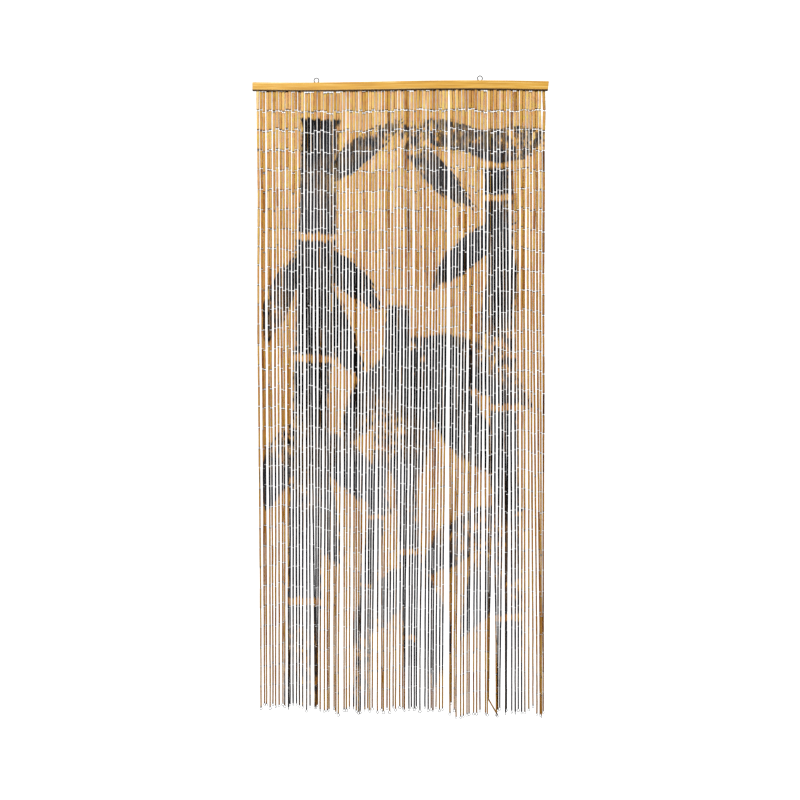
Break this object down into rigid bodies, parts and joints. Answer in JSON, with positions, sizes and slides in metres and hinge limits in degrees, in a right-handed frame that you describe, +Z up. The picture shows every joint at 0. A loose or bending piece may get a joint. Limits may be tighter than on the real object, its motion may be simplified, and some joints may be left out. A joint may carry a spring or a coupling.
{
  "type": "bamboo bead door curtain with wooden batten",
  "caption": "Door curtain of threaded bamboo tube strands hanging from a slim wooden batten with two wire screw eyes on its top edge.",
  "frame": {"origin": "midway between the centres of the two eye rings on the batten's top edge", "axes": "+Z up, -Y to the front of the curtain, +X to the right as seen from the front"},
  "size_m": [0.9028, 0.0209, 1.9615],
  "materials": {
    "batten_wood": "honey-coloured wood with a satin lacquer",
    "bamboo": "natural bamboo tubes with matt charcoal paint",
    "steel_wire": "zinc-plated steel wire"
  },
  "bodies": {
    "root": {"batten": "batten_wood", "eye_left": "steel_wire", "eye_right": "steel_wire", "strands": "bamboo"}
  },
  "joints": []
}
